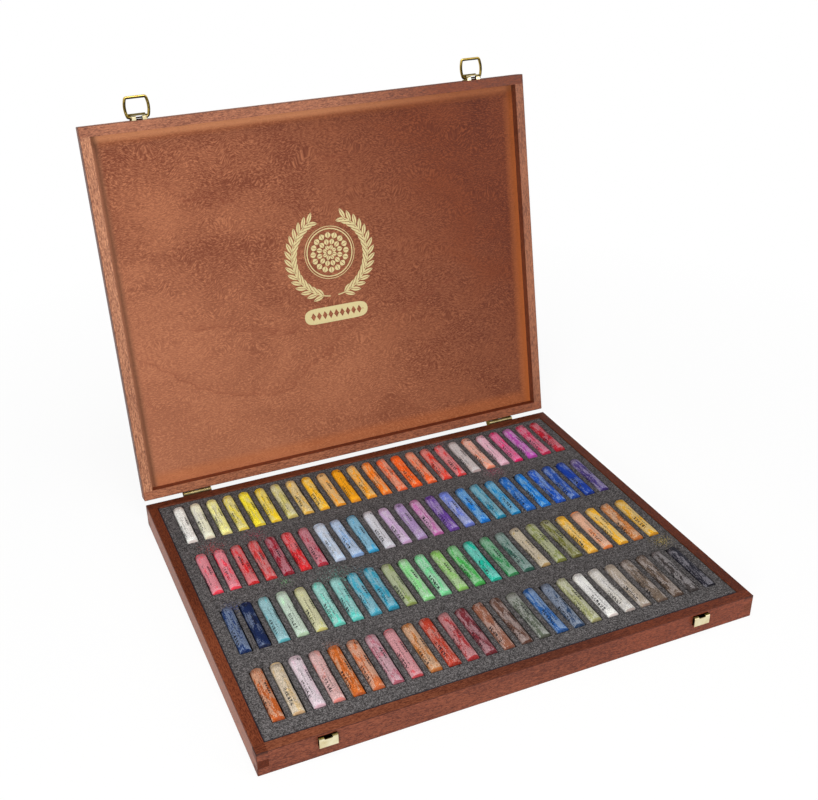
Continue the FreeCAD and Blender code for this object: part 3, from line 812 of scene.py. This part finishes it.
# pastels
pigments = {
    "white": (236, 235, 228), "ivory": (238, 238, 208), "paleLemon": (244, 240, 150),
    "lemon": (240, 222, 80), "yellow": (250, 230, 44), "golden": (250, 214, 24),
    "straw": (210, 200, 112), "sand": (238, 190, 70), "goldenLight": (252, 190, 24),
    "amber": (240, 160, 8), "amberOrange": (250, 164, 22), "orange": (248, 126, 20),
    "salmonOrange": (244, 100, 40), "deepOrange": (246, 96, 20), "vermilion": (224, 50, 28),
    "coral": (226, 56, 58), "greyWhite": (196, 182, 178), "salmonPink": (244, 150, 116),
    "palePink": (226, 176, 192), "magenta": (232, 16, 106), "orchid": (184, 70, 172),
    "rose": (202, 38, 84), "roseRed": (176, 10, 34), "lightRed": (252, 66, 88), "red": (216, 28, 34),
    "brickRed": (206, 46, 46), "crimson": (148, 12, 36), "deepRose": (180, 36, 58),
    "paleBlueGrey": (190, 210, 234), "paleBlue": (146, 188, 236), "cerulean": (40, 164, 214),
    "lavenderWhite": (222, 224, 236), "lilac": (200, 168, 208), "lightViolet": (164, 136, 184),
    "pinkViolet": (192, 104, 170), "violet": (98, 58, 152), "periwinkle": (104, 124, 208),
    "azure": (0, 118, 210), "tealBlue": (10, 134, 168), "skyBlue": (4, 134, 196),
    "steelBlue": (16, 96, 180), "cobalt": (12, 78, 184), "deepCobalt": (16, 68, 160),
    "ultramarine": (4, 52, 152), "violetBlue": (60, 44, 116), "navy": (0, 40, 96),
    "deepNavy": (0, 24, 70), "paleCyan": (90, 190, 200), "paleMint": (196, 238, 200),
    "oliveStraw": (214, 214, 124), "mint": (104, 216, 196), "turquoise": (90, 206, 194),
    "cyan": (60, 166, 192), "tealCyan": (36, 150, 180), "lightOlive": (138, 160, 84),
    "lightGreen": (132, 218, 134), "mintGreen": (116, 216, 148), "leafGreen": (132, 190, 92),
    "green": (66, 178, 78), "jade": (0, 188, 158), "forest": (44, 134, 76), "seaGreen": (42, 96, 80),
    "khaki": (186, 160, 100), "oliveGreen": (126, 136, 58), "olive": (106, 106, 42),
    "ochre": (236, 178, 50), "salmonOchre": (238, 138, 70), "goldOchre": (240, 178, 34),
    "brownOchre": (190, 114, 48), "yellowOchre": (220, 162, 28), "burntOrange": (192, 90, 24),
    "cream": (218, 188, 138), "pinkWhite": (236, 206, 218), "shellPink": (236, 150, 140),
    "orangeBrown": (200, 98, 28), "flame": (206, 108, 54), "mauve": (186, 104, 120),
    "softRose": (214, 82, 90), "tan": (192, 116, 50), "rust": (182, 52, 28), "ruby": (164, 40, 42),
    "brownRed": (112, 28, 38), "brown": (142, 86, 62), "darkBrown": (94, 62, 48), "slate": (84, 92, 76),
    "blue": (24, 84, 152), "greyBlue": (26, 58, 94), "paleOlive": (158, 160, 108),
    "warmWhite": (202, 197, 188), "beigeGrey": (166, 152, 136), "brownGrey": (104, 88, 74),
    "darkTaupe": (88, 70, 56), "darkGrey": (56, 50, 48), "blackGrey": (24, 24, 36),
}
rowPigments = [
    "white ivory paleLemon lemon yellow golden straw sand goldenLight amberOrange amber amberOrange "
    "orange salmonOrange deepOrange salmonOrange vermilion coral greyWhite salmonPink palePink magenta "
    "orchid rose roseRed",
    "lightRed lightRed red brickRed crimson red deepRose paleBlueGrey paleBlue cerulean lavenderWhite "
    "lilac lightViolet pinkViolet violet periwinkle azure tealBlue skyBlue steelBlue azure cobalt "
    "deepCobalt ultramarine violetBlue",
    "navy deepNavy paleCyan paleMint oliveStraw mint turquoise cyan tealCyan lightOlive lightGreen "
    "mintGreen leafGreen green jade forest seaGreen khaki oliveGreen olive ochre salmonOchre goldOchre "
    "brownOchre yellowOchre",
    "burntOrange cream pinkWhite shellPink orangeBrown flame mauve softRose tan rust ruby brownRed "
    "brown darkBrown slate blue greyBlue paleOlive white warmWhite beigeGrey brownGrey darkTaupe "
    "darkGrey blackGrey",
]
# how much each paper hides its pigment, 0 to 9
rowFades = [
    "1334344535143424455525444",
    "6544435456633534454333324",
    "4266655445444444575436444",
    "4556345643543444544333343",
]
# sticks that lie or taper unlike the rest: row, place, turn in degrees, then in millimetres how much wider
# they are in front and at the back, and their slide
oddSticks = [
    (1, 15, 0.0, 0.6, 0.3, 0.0),
    (1, 20, -0.5, 0.0, 0.5, 0.6),
    (1, 24, 0.0, 0.3, 0.5, 0.8),
    (2, 8, -0.4, 0.0, 0.9, 0.6),
    (2, 9, -1.2, 0.8, 0.0, 0.0),
    (2, 16, -0.8, 0.0, 0.7, 0.8),
    (2, 17, 1.0, 0.2, -0.2, 0.0),
    (2, 21, 1.2, 0.5, -0.7, -0.8),
    (3, 4, 0.0, 0.4, 0.2, 0.8),
    (3, 9, 0.0, 0.1, 0.2, 1.0),
    (3, 17, 0.5, 0.7, 0.0, 0.5),
    (3, 18, -0.6, 0.2, 0.4, 0.6),
    (3, 20, -1.0, 0.0, 0.3, 0.3),
    (4, 3, -0.6, 0.2, 0.8, 0.8),
    (4, 10, -0.3, 0.8, 0.3, 0.5),
    (4, 15, -0.4, 0.0, 0.7, 0.3),
    (4, 16, -0.4, 0.5, 0.2, 0.0),
    (4, 17, 0.4, 0.0, -0.4, -0.6),
    (4, 25, 0.3, 0.0, -0.5, -0.8),
]
stick = {
    "around": 24,
    "wrapThick": 0.16 * mm,
    "chalkInset": 0.2 * mm,
    "lumps": 0.12 * mm,
    "endChips": 0.12 * mm,
    # where the plain middle begins and ends, from the stick's front and back, and its rings
    "middle": (2.0 * mm, 4.0 * mm, 8),
    # how a stick may lie: its slide along its pocket, its turn in degrees, least and most shift to the side
    # and rise, how much wider an end gets, and mean and spread of its roll
    "slide": 0.5 * mm,
    "turn": 0.7,
    "shift": (-0.25 * mm, 0.2 * mm),
    "rise": (-0.1 * mm, 0.2 * mm),
    "wider": 0.12 * mm,
    "roll": (-0.1, 0.28),
    "flare": 0.25,
    "flareRise": 0.35 * mm,
    "crumple": 0.1 * mm,
    "ragged": 0.5 * mm,
    # a wrap's rings along it, its gap to the stick, and how far its ends stay from the stick's ends
    "wrapSteps": 11,
    "wrapGap": 0.02 * mm,
    "wrapFront": (0.15 * mm, 1.7 * mm),
    "wrapBack": (0.5 * mm, 2.2 * mm),
    "boxy": 2.6,
    "frontDrop": 0.5 * mm,
    # profile of the flat front end and the rounded back end: millimetres from the end and share of the radius
    "frontEnd": [(0.0, 0.80), (0.08, 0.93), (0.4, 0.99)],
    "backEnd": [(2.0, 1.0), (0.9, 0.985), (0.35, 0.93), (0.1, 0.84), (0.0, 0.66)],
}


def stickPlaces(number, random):
    # each stick's own small slide along Y, sideways shift, rise, turn about Z, taper, roll and seed
    each = (pocket["perRow"], 1, 1)
    places = {
        "slide": np.clip(random.normal(0, 0.35, each), -1, 1) * stick["slide"],
        "shift": random.uniform(*stick["shift"], each),
        "rise": random.uniform(*stick["rise"], each),
        "turn": np.clip(random.normal(0, 0.4, each), -1, 1) * stick["turn"],
        "wideFront": np.abs(random.normal(0, stick["wider"], each)),
        "wideBack": np.abs(random.normal(0, stick["wider"], each)),
        "roll": random.normal(*stick["roll"], each),
        "seed": random.uniform(0, 100, each),
    }
    for row, column, turn, *lengths in oddSticks:
        if row == number + 1:
            places["turn"][column - 1] = turn
            for key, length in zip(("wideFront", "wideBack", "slide"), lengths):
                places[key][column - 1] = length * mm
    places["turn"] = np.radians(places["turn"])
    return places


def layInRow(along, radius, angles, places, rowY):
    # cylinders about Y, by stick, ring and point around, are widened towards an end, turned, slid and laid in
    # their pockets; the section between circle and square is 1 over the root of |sin|^boxy + |cos|^boxy
    share = np.clip(along / stickHalf, -1, 1)
    front = places["wideFront"] * np.clip(-share, 0, 1) ** 1.6
    back = places["wideBack"] * np.clip(share, 0, 1) ** 1.6
    wider = 1 + (front + back) / stickRadius
    boxy = stick["boxy"]
    radius = radius * (np.abs(np.sin(angles)) ** boxy + np.abs(np.cos(angles)) ** boxy) ** (-1 / boxy)
    x = radius * np.sin(angles) * wider
    z = radius * np.cos(angles) * (0.5 + 0.5 * wider)
    sine, cosine = np.sin(places["turn"]), np.cos(places["turn"])
    flatX = x * cosine + along * sine + columnsX[:, None, None] + places["shift"]
    flatY = along * cosine - x * sine + rowY + places["slide"]
    z = z + stickAxisZ + places["rise"] - stick["frontDrop"] * (0.5 - 0.5 * share)
    return np.stack([flatX, flatY, z], axis=-1).reshape(-1, 3)


def tubeFaces(sticks, rings, around):
    # the closed grid of one stick, moved on by a stick's points for each of the others
    quads = gridQuads(rings, around, closedAcross=True)
    starts = np.arange(sticks)[:, None, None] * rings * around
    return (quads[None] + starts).reshape(-1, 4)


def endRings(sticks, rings, around):
    # the points of every stick's first ring and the ones after them, then those of its last ring
    turn = np.arange(around)
    after = (turn + 1) % around
    first = np.arange(sticks)[:, None] * rings * around
    last = first + (rings - 1) * around
    return first + turn, first + after, last + turn, last + after


def poleFaces(sticks, rings, around):
    # fans that close both ends onto the two pole points kept after all the rings of all sticks
    front, frontAfter, back, backAfter = endRings(sticks, rings, around)
    poles = sticks * rings * around + np.arange(sticks)[:, None] * 2 + np.zeros_like(front)
    fans = [(frontAfter, front, poles), (back, backAfter, poles + 1)]
    return np.concatenate([np.stack(fan, axis=-1).reshape(-1, 3) for fan in fans])


def makeChalks(number, random, places, colours):
    # rings of radius times profile, less small random lumps
    front, back = np.array(stick["frontEnd"]), np.array(stick["backEnd"])
    fromFront, fromBack, count = stick["middle"]
    middle = np.linspace(fromFront - stickHalf, stickHalf - fromBack, count)
    along = np.concatenate([front[:, 0] * mm - stickHalf, middle, stickHalf - back[:, 0] * mm])[:, None]
    share = np.concatenate([front[:, 1], np.ones(len(middle)), back[:, 1]])[:, None]
    rings, around = len(along), stick["around"]
    size = (pocket["perRow"], rings, around)
    angles = np.linspace(0, 2 * math.pi, around, endpoint=False)
    radius = (stickRadius - stick["chalkInset"]) * share
    radius = radius - np.abs(random.normal(0, 0.4, size)) * stick["lumps"]
    along = along + random.normal(0, stick["endChips"], size) * (share < 1)
    points = layInRow(along, radius, angles, places, rowsY[number])
    poles = layInRow(np.array([[-stickHalf], [stickHalf]]), 0.0, 0.0, places, rowsY[number])
    fans = poleFaces(*size)
    piece = makePiece("pastelsRow" + str(number + 1), np.concatenate([points, poles]), tubeFaces(*size), fans)
    shades = np.concatenate([np.repeat(colours, rings * around, axis=0), np.repeat(colours, 2, axis=0)])
    pointValues(piece, "pigment", "color", shades)
    return piece


def makeWraps(number, random, places, colours):
    # a thin paper tube: its outer skin runs front to back and its inner skin comes back, joined at both lips
    count, around, steps = pocket["perRow"], stick["around"], stick["wrapSteps"]
    each, rings = (count, 1, 1), 2 * steps
    least, more = stick["wrapFront"]
    start = -stickHalf + random.uniform(0.0, 1.0, each) ** 2 * more + least
    end = stickHalf - random.uniform(*stick["wrapBack"], each)
    way = np.concatenate([np.linspace(0, 1, steps), np.linspace(1, 0, steps)])[:, None]
    outer = np.repeat([1.0, 0.0], steps)[:, None]
    angles, seed = np.linspace(0, 2 * math.pi, around, endpoint=False), places["seed"]
    ragged = (np.sin(angles * 2 + seed) + 0.5 * np.sin(angles * 5 + seed * 3)) * stick["ragged"]
    along = start + (end - start) * way + ragged * (1 - way) ** 3 + ragged * 0.7 * way ** 6
    flare = np.clip(random.normal(-0.1, stick["flare"], each), 0, 0.8) * stick["flareRise"]
    crumple = random.normal(0, 0.4, (count, steps, around)) * stick["crumple"]
    crumple = np.concatenate([crumple, crumple[:, ::-1]], axis=1)
    radius = stickRadius + stick["wrapGap"] - (1 - outer) * stick["wrapThick"] + crumple
    radius = radius + flare * np.clip(1 - way * 6, 0, 1) ** 1.5
    points = layInRow(along, radius, angles, places, rowsY[number])
    front, frontAfter, back, backAfter = endRings(count, rings, around)
    lips = np.stack([back, backAfter, frontAfter, front], axis=-1).reshape(-1, 4)
    quads = np.concatenate([tubeFaces(count, rings, around), lips])
    piece = makePiece("paperWrapsRow" + str(number + 1), points, quads)
    pointValues(piece, "pigment", "color", np.repeat(colours, rings * around, axis=0))
    # the wrap's own flat place in millimetres: along it, round it from the top, and the stick's seed
    roundPlace = (np.mod(angles + math.pi, 2 * math.pi) - math.pi + places["roll"]) * stickRadius / mm
    flat = np.broadcast_arrays(along / mm, roundPlace, seed)
    pointValues(piece, "wrapPlace", "vector", np.stack(flat, axis=-1))
    fades = np.array([int(digit) for digit in rowFades[number]]) / 9
    pointValues(piece, "wrapFade", "vector", np.repeat(fades, rings * around * 3))
    return piece


def chalkMaterial():
    material, shader = newMaterial("pressedPigment", {"Roughness": 0.9, "Specular IOR Level": 0.08})
    coordinates = addNode("TexCoord").outputs
    place = coordinates["Object"]
    pigment = pointValue("pigment", "Color")
    # painted shade: the front ends are darker and ruddier
    inFront = spread(axes(coordinates["Normal"])["Y"], -0.5, -0.8)
    pigment = tinted(pigment, mix(inFront, (0.86, 0.84, 0.84), (0.74, 0.64, 0.64)))
    dust, pit = noise(place, 620.0, 4.0, 0.6), noise(place, 1500.0, 3.0, 0.65)
    dusty = (spread(dust, 0.4, 0.75, 0.0, 0.07), (0.9, 0.9, 0.9))
    colour = layered(pigment, dusty, (spread(pit, 0.6, 0.75, 0.0, 0.3), (0.02, 0.02, 0.02)))
    paint(shader, colour, pit, (0.6, 0.0006))
    return material


# lines of strokes on a wrap, in millimetres: place round it, height, length of a cell, first and last place
# along it; then the share of cells left bare
printLines = [
    (0.9, 1.7, 0.8, -6.0, 9.0, 0.02),
    (3.1, 1.0, 0.6, -3.0, 7.0, 0.25),
    (-3.4, 1.2, 0.6, -22.0, 12.0, 0.55),
    (-7.6, 2.9, 0.95, -24.0, -2.0, 0.36),
    (4.8, 2.9, 0.95, -22.0, -4.0, 0.30),
]
printRing = {"along": 26.2, "round": 0.8, "radius": 1.2, "halfLine": 0.45, "share": 0.2}


def printGroup():
    # ink in small cells that are inked at random, where every fourth cell along a line stays bare
    group, given, result = newGroup("printMarks", [("Place", "Vector")], [("Ink", "Float")])
    along, roundIt, seed = axes(given["Place"])
    moved = minus(along, calc("MODULO", seed, 4.0))
    total = 0.0
    for place, height, cell, first, last, bare in printLines:
        within = minus(roundIt, place)
        step = calc("FLOOR", calc("DIVIDE", along, cell))
        third = calc("FLOOR", calc("DIVIDE", within, height / 3))
        key = addNode("CombineXYZ", {0: step, 1: third, 2: calc("ADD", seed, place)}).outputs[0]
        ink = calc("GREATER_THAN", addNode("TexWhiteNoise", {"Vector": key}).outputs["Value"], bare)
        for value, low, high in ((within, 0.0, height), (moved, first, last)):
            ink = times(ink, times(calc("GREATER_THAN", value, low), calc("LESS_THAN", value, high)))
        letter = calc("FLOORED_MODULO", step, 4.0)
        total = larger(total, times(ink, calc("LESS_THAN", letter, 2.5)))
    # some papers also carry a small ring near their back end
    alongRing, roundRing = minus(along, printRing["along"]), minus(roundIt, printRing["round"])
    squares = (times(alongRing, alongRing), times(roundRing, roundRing))
    away = minus(calc("SQRT", calc("ADD", *squares)), printRing["radius"])
    ring = calc("LESS_THAN", calc("ABSOLUTE", away), printRing["halfLine"])
    ring = times(ring, calc("LESS_THAN", calc("FRACT", seed), printRing["share"]))
    link(larger(total, ring), result["Ink"])
    return group


printMarks = printGroup()
wrapLook = {
    "paper": (0.37, 0.35, 0.36),
    "ink": (0.012, 0.012, 0.016),
    "rub": 0.80,
    "tintPower": 0.58,
    # how fine its noises are, per millimetre along the wrap and round it
    "streak": (0.26, 1.1, 1.0),
    "smear": (0.06, 0.24, 1.0),
    "grain": (0.8, 1.5, 1.0),
}


def wrapMaterial():
    # the paper covers the pigment where its fade is more than a streaky noise
    material, shader = newMaterial("printedWrap", {"Roughness": 0.5, "Specular IOR Level": 0.03})
    flat, fade = pointValue("wrapPlace", "Vector"), axes(pointValue("wrapFade", "Vector"))[0]
    pigment = pointValue("pigment", "Color")
    streak = noise(flat, wrapLook["streak"], 4.0, 0.72, 0.4)
    smear = noise(flat, wrapLook["smear"], 3.0, 0.6, 0.4)
    grain = noise(flat, wrapLook["grain"], 2.0, 0.7)
    patchy = weighted((smear, 0.9), (streak, 0.5))
    cover = minus(calc("MULTIPLY_ADD", fade, 0.36, 0.42), times(patchy, wrapLook["rub"]))
    cover = calc("MULTIPLY_ADD", minus(grain, 0.5), 0.30, cover)
    soft = addNode("Gamma", {0: pigment, 1: wrapLook["tintPower"]}).outputs[0]
    paper = mix(calc("MULTIPLY_ADD", fade, 0.4, 0.28), soft, wrapLook["paper"])
    colour = mix(spread(cover, -0.02, 0.025, 0.08, 0.88), pigment, paper)
    # the paper's grain makes it lighter and darker in flecks; the light flecks are also painted highlights
    shade = spread(grain, 0.3, 0.7, 0.46, 1.32)
    colour = tinted(colour, addNode("CombineXYZ", {0: shade, 1: shade, 2: shade}).outputs[0])
    ink = placeGroup(printMarks, {"Place": flat})["Ink"]
    colour = mix(times(ink, spread(smear, 0.35, 0.7, 1.0, 0.7)), colour, wrapLook["ink"])
    paint(shader, colour, calc("ADD", streak, grain), (0.5, 0.0005))
    return material


foamInsert = makeFoam()
finish(foamInsert, "tray", "foam", foamMaterial(), "foam_pocket_sheet", "foam_bed")
print("foam cut:", len(foamInsert.data.polygons), "faces")


def makePastels():
    chalk, wrap = chalkMaterial(), wrapMaterial()
    random = np.random.default_rng(7)
    for number, nodeName in enumerate(rowNames):
        colours = np.array([screenColour(*pigments[name]) for name in rowPigments[number].split()])
        places = stickPlaces(number, random)
        body, slotName = "stick_row_" + str(number + 1), "pastels_" + str(number + 1)
        finish(makeChalks(number, random, places, colours), body, slotName, chalk, nodeName)
        finish(makeWraps(number, random, places, colours), body, slotName, wrap)


makePastels()
print("pastels laid")

# gold ornament on the lid
ornament = {
    "centreFromFront": 169.0,
    "centreX": -0.6,
    "wreathY": 6,
    "wreathRadius": 43.0,
    "stemSpan": (-84, 62),
    "leafSpan": (-74, 60),
    "leaves": 15,
    "leafLength": 13.0,
    "leafWidth": 4.4,
    "leafLean": 34,
    "rosetteY": 10,
    # each ring of petals: how many, the radius where they start and end, and their width
    "petalRings": [(16, 15.4, 22.0, 6.4), (12, 8.6, 15.0, 5.4), (8, 3.0, 8.5, 4.2)],
    # circles about the rosette: radius, line width and steps
    "circles": [(25.5, 1.1, 90), (28.0, 0.6, 90), (1.2, 2.2, 24)],
    # the plate's centre, half length and half height
    "plate": (0.0, -56.5, 36.5, 8.6),
    # its lozenges: how many in half its length, how pointed, half height and how much of it they fill
    "lozenges": (5.5, 1.18, 4.6, 0.85),
    # stem, and half of the bare vein of a leaf and of a petal
    "stemWidth": 1.0,
    "leafVein": 0.32,
    "petalVein": 0.3,
    "thickness": 0.05 * mm,
    "sunk": 0.02 * mm,
    "gold": screenColour(194, 180, 130),
}


def leafStrip(x, y, heading, length, width, split):
    # pointed oval of two halves either side of a bare vein that is split wide: the half width is width/2
    # times sin to the power 0.8, from stem to tip
    t = np.linspace(0, 1, 9)
    half = width / 2 * np.sin(np.pi * t) ** 0.8
    strips = []
    for side in (-1, 1):
        pair = []
        for edge in (side * np.minimum(split, half), side * half):
            edgeX = x + t * length * np.cos(heading) - edge * np.sin(heading)
            edgeY = y + t * length * np.sin(heading) + edge * np.cos(heading)
            pair.append(np.stack([edgeX, edgeY], axis=-1))
        strips.append(np.stack(pair))
    return strips


def band(points, width):
    # ribbon of a constant width along a line of points
    way = np.gradient(points, axis=0)
    way /= np.linalg.norm(way, axis=1)[:, None]
    normal = np.stack([-way[:, 1], way[:, 0]], axis=-1) * width / 2
    return np.stack([points - normal, points + normal], axis=0)


def arc(x, y, radius, start, stop, steps=40):
    turn = np.radians(np.linspace(start, stop, steps))
    return np.stack([x + radius * np.cos(turn), y + radius * np.sin(turn)], axis=-1)


def plateStrips(x, y, halfLength, halfHeight):
    # a plate with rounded ends and a row of lozenges left bare, one strip above the lozenges and one below;
    # a lozenge's half height falls evenly from its middle to its tips
    count, pointed, tall, filled = ornament["lozenges"]
    along = np.linspace(-1, 1, 121)
    rim = halfHeight * (1 - np.abs(along) ** 9) ** 0.5
    beat = np.abs(np.mod(along * count + 0.5, 1) - 0.5) * 2
    bare = np.minimum(np.clip(1 - beat * pointed, 0, 1) * tall, rim) * (np.abs(along) < filled)
    strips = []
    for lower, upper in ((bare, rim), (-rim, -bare)):
        edges = [np.stack([x + along * halfLength, y + height], axis=-1) for height in (lower, upper)]
        strips.append(np.stack(edges))
    return strips


def ornamentStrips():
    # every strip is two lines of points, by side and by place along it
    strips = []
    centreY, radius = ornament["wreathY"], ornament["wreathRadius"]
    for side in (-1, 1):
        wreath = [band(arc(0, centreY, radius, *ornament["stemSpan"]), ornament["stemWidth"])]
        for turn in np.radians(np.linspace(*ornament["leafSpan"], ornament["leaves"])):
            x, y = radius * np.cos(turn), centreY + radius * np.sin(turn)
            for lean, share in ((-ornament["leafLean"], 0.86), (ornament["leafLean"], 1.0)):
                heading, length = turn + math.pi / 2 - math.radians(lean), ornament["leafLength"] * share
                wreath += leafStrip(x, y, heading, length, ornament["leafWidth"], ornament["leafVein"])
        strips += [strip * (side, 1) for strip in wreath]
    centreY = ornament["rosetteY"]
    for ring, (petals, inner, reach, wide) in enumerate(ornament["petalRings"]):
        for turn in np.arange(petals) * 2 * math.pi / petals + ring * 0.2:
            x, y = inner * math.cos(turn), centreY + inner * math.sin(turn)
            strips += leafStrip(x, y, turn, reach - inner, wide, ornament["petalVein"])
    for radius, wide, steps in ornament["circles"]:
        strips.append(band(arc(0, centreY, radius, 0, 360, steps), wide))
    return strips + plateStrips(*ornament["plate"])


def makeOrnament():
    points, quads, start = [], [], 0
    for strip in ornamentStrips():
        middle = strip.shape[1] // 2
        onward, across = strip[0, middle + 1] - strip[0, middle], strip[1, middle] - strip[0, middle]
        flipped = onward[0] * across[1] - onward[1] * across[0] < 0
        points.append((strip[::-1] if flipped else strip).reshape(-1, 2))
        quads.append(gridQuads(2, strip.shape[1]) + start)
        start += 2 * strip.shape[1]
    x, y = np.concatenate(points).T * mm
    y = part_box("tray_front_board")[0].y + ornament["centreFromFront"] * mm - y
    z = np.full(len(x), shutPanelHeight() - ornament["sunk"])
    spots = np.stack([x + ornament["centreX"] * mm, y, z], axis=-1)
    piece = makePiece("lidOrnament", spots, np.concatenate(quads), smooth=False)
    piece.data.transform(lidOpened)
    thick = piece.modifiers.new("ink", "SOLIDIFY")
    thick.thickness = ornament["thickness"]
    thick.offset = 0
    return piece


def shutPanelHeight():
    # inner face of the lid's panel, measured with the lid turned shut again
    shut = lidOpened.inverted()
    return min((shut @ vertex.co).z for vertex in cad["lid_panel"].data.vertices)


def goldMaterial():
    material, shader = newMaterial("goldInk", {"Roughness": 0.45, "Metallic": 0.15})
    wear = noise(addNode("TexCoord").outputs["Object"], 900.0, 3.0, 0.6)
    paint(shader, mix(spread(wear, 0.55, 0.8, 0.0, 0.5), ornament["gold"], stainAndPaintedLight["panelMiddle"]))
    return material


lidOrnament = makeOrnament()
finish(lidOrnament, "lid", "brass", goldMaterial())
print("ornament printed")
